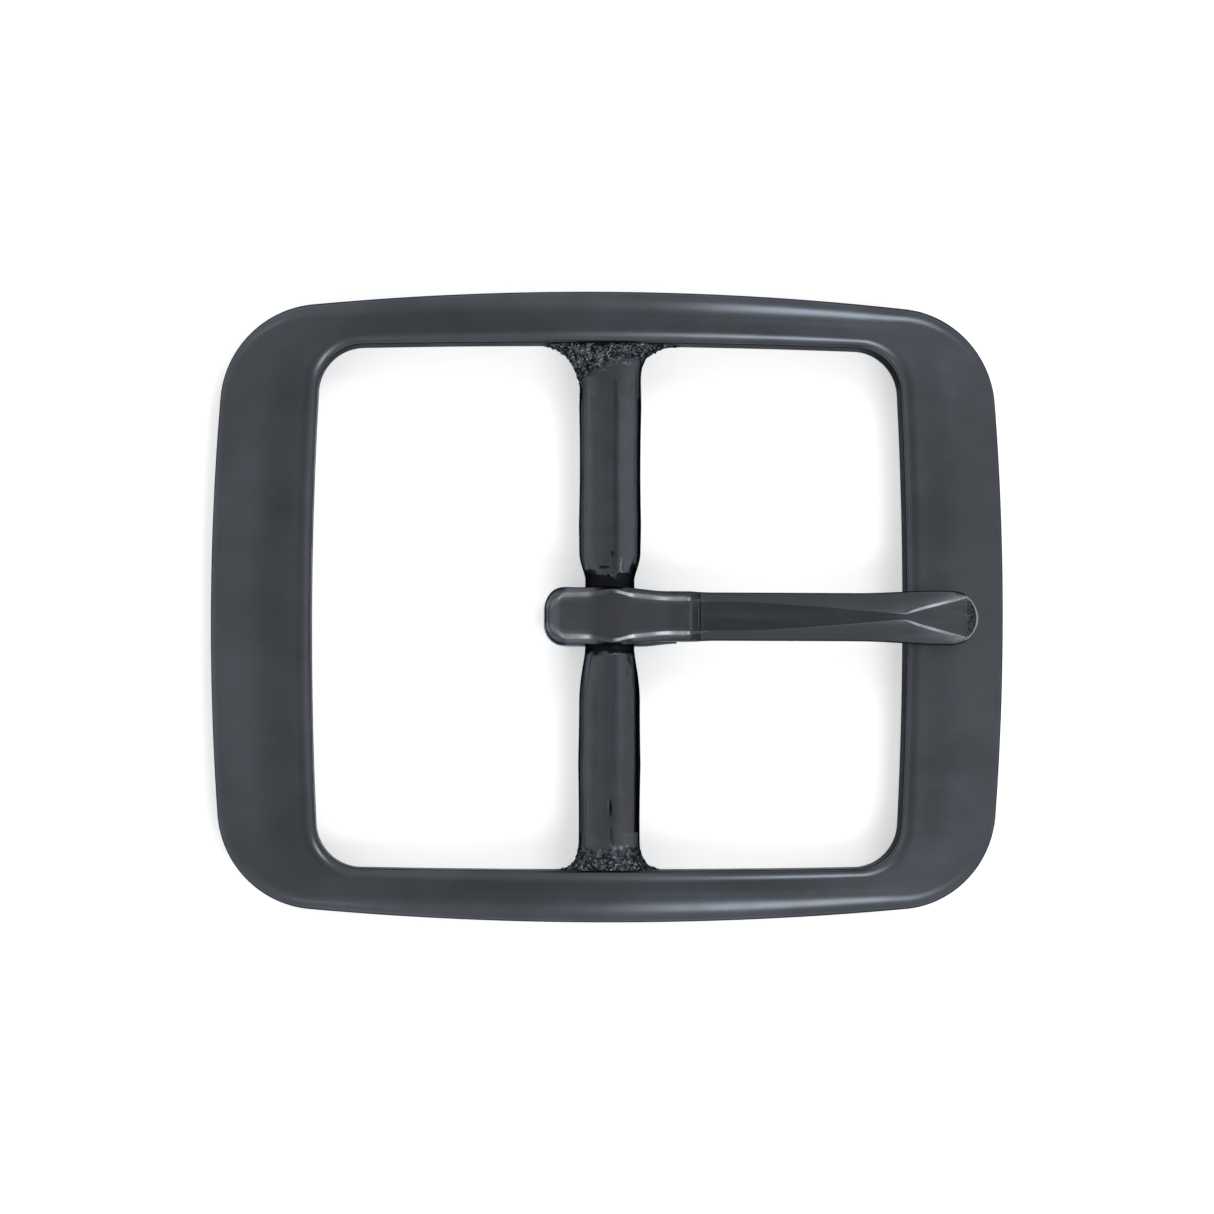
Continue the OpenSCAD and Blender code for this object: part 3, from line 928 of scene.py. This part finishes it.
def frame_plate():
    """Satin black nickel, polished round the ring, with rough walls from the casting painted dark as shade,
    bright flecks painted on them as glints, and faintly worn creases.
    """
    finish = Finish("frame_plate", METAL)
    track = finish.attribute("track", "Vector")
    cast = finish.attribute("cast")
    crease = finish.attribute("crease")
    streaks = finish.noise(finish.stretched(track, (0.035, 1, 0.02)), 0.16, 3.0, 0.6)
    fine = finish.noise(finish.stretched(track, (0.06, 1, 0.03)), 0.06, 2.0, 0.6)
    cloud = finish.noise(finish.place, 5, 3.0)
    pits = finish.cells(finish.place, 0.42)
    grain = finish.noise(finish.place, 0.3, 3.0, 0.6)
    colour = plate_colour(finish, 6)
    colour = finish.mix((streaks.ease(0.3, 0.75) * 0.3) * (1 - cast), colour, PLATE_LIGHT)
    colour = finish.mix(crease * cloud.ease(0.4, 0.7) * 0.02, colour, PLATE_WORN_AND_HIGHLIGHT)
    # Painted shade: the walls go dark, mottled by their grain.
    colour = finish.mix(cast.ease(0.25, 0.7) * (0.8 + 0.2 * (1 - grain.ease(0.35, 0.6))), colour, PLATE_PIT_AND_SHADE)
    # Painted glints: bright flecks on the walls at the right window's corners.
    x, y, _ = finish.split(finish.place)
    corner = (x / MM).ease(15, 20) * (y / MM).math("ABSOLUTE").ease(11, 17)
    flecks = finish.noise(finish.place, 0.42, 3.0, 0.7)
    colour = finish.mix(cast * corner * flecks.ease(0.5, 0.6) * 0.9, colour, PLATE_WORN_AND_HIGHLIGHT)
    finish.feed("Base Color", colour)
    rough = 0.28 + 0.08 * (cloud - 0.5) + 0.14 * (streaks - 0.5) + 0.22 * cast + 0.12 * (fine - 0.5)
    finish.feed("Roughness", rough.clamp())
    polish = (streaks * 0.004 + fine * 0.0022) * (1 - cast)
    cast_relief = cast * (grain * 0.05 + pits * 0.03) * (1 + 3 * corner)
    finish.feed("Normal", finish.bump(polish + cast_relief, 1))
    return finish.material


# Painted reflection bands along the bar, light and dark: place across it, reach, strength and colour.
BAR_REFLECTION_BANDS = ((-1.9, 0.45, 0.7, (0.1, 0.107, 0.11)), (-0.9, 0.5, 0.5, (0.066, 0.068, 0.082)),
             (0.35, 0.45, 0.8, (0.044, 0.047, 0.053)), (1.3, 0.65, 0.7, (0.086, 0.1, 0.124)))

# Black marks on the bar, painted shade in its hollows and beside the neck: centre, reach and strength. The
# groove's two runs, then marks on the dents and the shoulders above the claw.
BAR_SHADE_MARKS = (((0.02, -15.05), (0.11, 0.72), 1), ((0.04, -17.35), (0.09, 1.0), 0.6),
             ((-0.5, 2.92), (0.42, 0.14), 0.9), ((0.1, 3.95), (0.13, 0.22), 0.8),
             ((-1.5, 2.5), (0.5, 0.3), 0.9), ((1.7, 2.6), (0.3, 0.7), 0.9))


def bar_plate():
    """Black nickel polished along the bar, with painted shade black in the neck and along its sides, and
    painted light and dark reflection bands.
    """
    finish = Finish("bar_plate", METAL)
    x, y, _ = finish.split(finish.place)
    along = finish.stretched(finish.place, (1, 0.05, 1))
    streaks = finish.noise(along, 0.22, 3.0, 0.6)
    bands = finish.noise(finish.stretched(finish.place, (1, 0.02, 1), (0.004, 0, 0)), 1.1, 1.0)
    cloud = finish.noise(finish.place, 2.2, 4.0)
    ragged = finish.noise(finish.place, 0.7, 3.0, 0.6)
    x = x / MM
    y = y / MM
    below = 1 - y.ease(-4.2, -3.4)
    # Painted shade along both sides. Below the claw the right side's painted dark line stands a little in
    # from the edge.
    right_above = x.ease(1.95, 2.2)
    right_below = x.ease(1.72, 1.9) * (1 - 0.75 * x.ease(2.08, 2.2))
    side = (1 - x.ease(-2.33, -2.18)) + (right_above * (1 - below) + right_below * below)
    # The painted shade of the neck ends raggedly, most of all above the claw.
    roughly = (1.1 + 0.9 * y.ease(0, 1)) * (ragged - 0.5)
    neck = 1 - ((y - NECK_Y).math("ABSOLUTE") + roughly).ease(NECK_LEN / 2 - 0.15, NECK_LEN / 2 + 0.2)
    marks = neck
    for (mark_x, mark_y), (reach_x, reach_y), depth in BAR_SHADE_MARKS:
        away = (((x - mark_x) / reach_x) ** 2 + ((y - mark_y) / reach_y) ** 2) + 0.9 * (ragged - 0.5)
        marks = marks.least((1 - away.ease(0.55, 1.1)) * depth)
    # A filed patch at the lower end, right of the groove.
    filed = (1 - (y - 0.35 * x).ease(-14.6, -14.45)) * x.ease(0.1, 0.2)
    colour = plate_colour(finish, 3)
    colour = finish.mix(streaks.ease(0.35, 0.7) * 0.35, colour, PLATE_LIGHT)
    waver = 0.3 * (bands - 0.5)
    for centre, reach, strength, shade in BAR_REFLECTION_BANDS:
        near = 1 - (x + waver - centre).math("ABSOLUTE").ease(0, reach)
        colour = finish.mix(near * strength * (1 - 0.55 * below), colour, shade)
    # Painted shade on the right of the bar below the claw.
    colour = finish.mix(below * x.ease(0.6, 1.3) * 0.6, colour, PLATE_BLADE)
    colour = finish.mix(filed * 0.7, colour, PLATE_FILED)
    # Painted shade: the sides, the neck and the marks go black.
    colour = finish.mix((side * 0.75).least(marks), colour, PLATE_PIT_AND_SHADE)
    # One short bright streak above the claw.
    streak = (1 - ((x - 0.75) / 0.13) ** 2).clamp() * y.ease(2.5, 2.7) * (1 - y.ease(3.1, 3.4))
    colour = finish.mix(streak * 0.45, colour, PLATE_WORN_AND_HIGHLIGHT)
    finish.feed("Base Color", colour)
    finish.feed("Roughness", (0.27 + 0.14 * (cloud - 0.5) + 0.16 * (streaks - 0.5) + 0.2 * neck).clamp())
    finish.feed("Normal", finish.bump(streaks * 0.006 + bands * 0.05 + neck * ragged * 0.1, 1))
    return finish.material


def rough_plate():
    """Black nickel over the grain of the casting: a dark mottle on the grain, painted shade along the sides,
    and a few bright flecks painted as glints.
    """
    finish = Finish("rough_plate", METAL)
    x, y, _ = finish.split(finish.place)
    grain = finish.noise(finish.place, 0.5, 4.0, 0.75)
    flecks = finish.noise(finish.place, 0.17, 2.0, 0.7)
    ragged = finish.noise(finish.place, 1.1, 3.0, 0.65)
    upper = y.math("GREATER_THAN", 0)
    start = GRAIN_Y + (GRAIN_SLANT * (x / MM)).most(GRAIN_RIGHT_RISE) * upper
    height = (y / MM).math("ABSOLUTE") - start + 1.7 * (ragged - 0.5)
    grainy = height.ease(-0.6, 0.3)
    bright = height.ease(0, 1.2)
    # Painted shade along the fillet's sides, fading out towards the rail.
    side = (x / MM).math("ABSOLUTE").ease(1.95, 2.3) * (1 - height.ease(0, 0.6))
    colour = finish.mix(side * 0.75, plate_colour(finish, 3), PLATE_PIT_AND_SHADE)
    colour = finish.mix(grainy, colour, finish.mix(grain.ease(0.42, 0.62), PLATE_PIT_AND_SHADE, PLATE_LIGHT))
    # Painted glints: bright flecks, more of them higher up.
    colour = finish.mix(flecks.ease(0.55, 0.66) * bright * (1 - 0.6 * side), colour, PLATE_WORN_AND_HIGHLIGHT)
    finish.feed("Base Color", colour)
    finish.feed("Roughness", (0.3 + 0.08 * grainy - 0.3 * (flecks - 0.5) * grainy).clamp())
    finish.feed("Normal", finish.bump((flecks * 0.06 + grain * 0.05) * (0.1 + 0.9 * grainy), 1))
    return finish.material


def tongue_plate():
    """Black nickel, smoother than the frame's, with bright edges of rubbing and painted highlight, and a
    filed nose.
    """
    finish = Finish("tongue_plate", METAL)
    x, y, _ = finish.split(finish.place)
    x = x / MM
    y = y / MM
    edge = finish.attribute("edge")
    along = finish.stretched(finish.place, (0.05, 1, 1))
    streaks = finish.noise(along, 0.2, 3.0, 0.6)
    cloud = finish.noise(finish.place, 2.4, 4.0)
    # The nose: a bright rim of painted highlight round a dark filed face.
    out = ((x - NOSE_C) ** 2 + (y - TONGUE_Y) ** 2).sqrt()
    at_nose = x.ease(TIP_X - 1.25, TIP_X - 1.0)
    rim = at_nose * out.ease(TIP_R - 0.24, TIP_R - 0.12)
    filed = at_nose * (1 - out.ease(TIP_R - 0.34, TIP_R - 0.24))
    hatch = finish.noise(finish.stretched(finish.place, (1, 1.6, 1)), 0.26, 2.0, 0.7)
    # The claw: warm over the neck and at the lip, lighter elsewhere, and painted shade dark in the lip's
    # crease.
    swell = 1 - ((x - 0.1).math("ABSOLUTE")).ease(1.0, 1.6)
    lip = x.ease(4.2, 4.7) * (1 - x.ease(6, 6.3))
    crease = (1 - ((x - LIP_X - 1.02).math("ABSOLUTE")).ease(0.04, 0.12)) * 0.8
    behind_neck = 1 - x.ease(-3.2, -0.9)
    before_neck = x.ease(1.2, 1.7) * (1 - x.ease(4, 4.6))
    # The blade: dark lengthwise bands, and darker bevels up to the ridge.
    on_blade = x.ease(LIP_X + 0.9, LIP_X + 1.5)
    band = finish.noise(finish.stretched(finish.place, (0.03, 1, 0.2)), 0.7, 2.0, 0.6)
    bevelled = (y - TONGUE_Y).math("ABSOLUTE").ease(0.3, 1.2) * (1 - x.ease(RIDGE_X - 2, RIDGE_X + 1))
    dull = (0.35 + 0.6 * band.ease(0.35, 0.62) + 0.5 * bevelled).clamp()
    colour = plate_colour(finish, 3)
    colour = finish.mix(streaks.ease(0.4, 0.75) * 0.3, colour, PLATE_LIGHT)
    colour = finish.mix(behind_neck + before_neck * 0.5, colour, PLATE_CLAW)
    colour = finish.mix(on_blade * dull, colour, PLATE_BLADE)
    colour = finish.mix((swell + lip * 0.6) * (0.3 + 0.5 * cloud), colour, PLATE_WARM)
    # The filed nose's dark hatching, and painted shade in the lip's crease.
    colour = finish.mix((filed * hatch.ease(0.42, 0.58) * 0.8).least(crease), colour, PLATE_PIT_AND_SHADE)
    # Painted highlights with rubbing: the bevels' bright lines and the nose's rim.
    colour = finish.mix((edge * (0.55 + 0.45 * cloud.ease(0.3, 0.6))).least(rim * 0.85), colour, PLATE_WORN_AND_HIGHLIGHT)
    finish.feed("Base Color", colour)
    finish.feed("Roughness", (0.24 + 0.1 * (cloud - 0.5) + 0.12 * (streaks - 0.5) + 0.1 * filed).clamp())
    finish.feed("Normal", finish.bump(streaks * 0.003 + cloud * 0.02 + filed * hatch * 0.06, 1))
    return finish.material


# ---------------------------------------------------------------- stage, light and camera

# Soft lights: name, lean towards +X and +Y in degrees, width and height in metres, and glow. The strips make
# the rails' bright lines, and the two on the left add to those of the claw, which are also painted highlight.
LIGHTS = (("strip_far", 29, 35, (0.2, 0.16), 5.6), ("strip_near", 24, -30, (0.23, 0.16), 5.6),
          ("left_far", -50, 42, (0.07, 0.07), 2), ("left_near", -38, -50, (0.07, 0.07), 2.5))
LIGHT_COLOUR = (0.93, 0.97, 1)
LIGHT_AWAY = 0.5

# The room's brightness: pairs of the sine of the height and a grey.
SKY_STOPS = ((0.0, 0.92), (0.55, 0.9), (0.84, 0.8), (0.89, 0.67), (0.97, 0.52))

# The floor's half-width in metres, its paint and its own faint glow.
FLOOR_HALF = 0.6
FLOOR_PAINT = {"Roughness": 0.9, "Base Color": (0.93, 0.93, 0.93, 1),
               "Emission Color": (1, 1, 1, 1), "Emission Strength": 0.35}

# The camera's place, what it looks at, the way up, and the width it takes in, in millimetres.
EYE = (-10, -8, 230)
AIM = (-0.2, 0, 3)
UP = (-0.0027, 1, 0)
VIEW_W = 91.5


def floor():
    """A plain pale floor under the buckle."""
    half = FLOOR_HALF
    corners = [(-half, -half, 0), (half, -half, 0), (half, half, 0), (-half, half, 0)]
    mesh = bpy.data.meshes.new("floor")
    mesh.from_pydata(corners, [], [(0, 1, 2, 3)])
    finish = Finish("floor_paint", FLOOR_PAINT)
    mesh.materials.append(finish.material)
    make_piece("floor", mesh)


def softbox(name, lean_x, lean_y, size, glow):
    """A rectangular light that leans from overhead by so many degrees towards +X and +Y.
    Its width runs along X. size is its width and height in metres."""
    way = Vector((math.tan(math.radians(lean_x)), math.tan(math.radians(lean_y)), 1)).normalized()
    across = (Vector((1, 0, 0)) - way * way.x).normalized()
    light = bpy.data.lights.new(name, "AREA")
    light.shape = "RECTANGLE"
    light.size, light.size_y = size
    light.color = LIGHT_COLOUR
    light.energy = glow * math.pi * size[0] * size[1]
    lamp = bpy.data.objects.new(name, light)
    lamp.location = way * LIGHT_AWAY
    lamp.rotation_mode = "QUATERNION"
    lamp.rotation_quaternion = Matrix((across, way.cross(across), way)).transposed().to_quaternion()
    bpy.context.scene.collection.objects.link(lamp)


def room_light():
    """Soft light from all round: dimmest overhead and brighter towards the walls."""
    world = bpy.data.worlds.new("studio")
    bpy.context.scene.world = world
    world.use_nodes = True
    world.node_tree.nodes.clear()
    g = Graph(world.node_tree)
    _, _, up = g.split(g.node("ShaderNodeTexCoord", output="Generated"))
    ramp = g.node("ShaderNodeValToRGB", {"stops": SKY_STOPS}, {0: up})
    sky = g.node("ShaderNodeBackground", inputs={"Color": ramp, "Strength": 1.0})
    g.node("ShaderNodeOutputWorld", inputs={"Surface": sky})


def studio():
    room_light()
    for name, lean_x, lean_y, size, glow in LIGHTS:
        softbox(name, lean_x, lean_y, size, glow)


def camera():
    """Looks straight down on the front, from a little to the left of its middle."""
    data = bpy.data.cameras.new("camera")
    data.sensor_width = 36
    eye = Vector(EYE) * MM
    aim = Vector(AIM) * MM
    data.lens = (aim - eye).length / (VIEW_W * MM) * data.sensor_width
    data.clip_start = 0.01
    data.clip_end = 10
    look = (aim - eye).normalized()
    right = look.cross(Vector(UP)).normalized()
    lens = bpy.data.objects.new("camera", data)
    lens.location = eye
    lens.rotation_mode = "QUATERNION"
    lens.rotation_quaternion = Matrix((right, right.cross(look), -look)).transposed().to_quaternion()
    bpy.context.scene.collection.objects.link(lens)
    bpy.context.scene.camera = lens


# ---------------------------------------------------------------- the buckle

def build():
    """Makes the five pieces, each riding its body and standing for its CAD node."""
    on_frame = frame_plate()
    on_bar = bar_plate()
    on_fillets = rough_plate()
    on_tongue = tongue_plate()
    finished(frame_ring(on_frame), "buckle", "frame", on_frame)
    finished(centre_bar(), "buckle", "centre_bar", on_bar)
    grains = grain_tree(on_fillets)
    for name, node, side, length, reach, flanks, seed in FILLETS:
        fillet = grainy_fillet(name, grains, side, length, reach, flanks, seed)
        finished(fillet, "buckle", node, on_fillets)
    finished(tongue(), "tongue", "tongue", on_tongue)


bpy.context.scene.view_settings.view_transform = "Standard"
camera()
studio()
floor()
build()
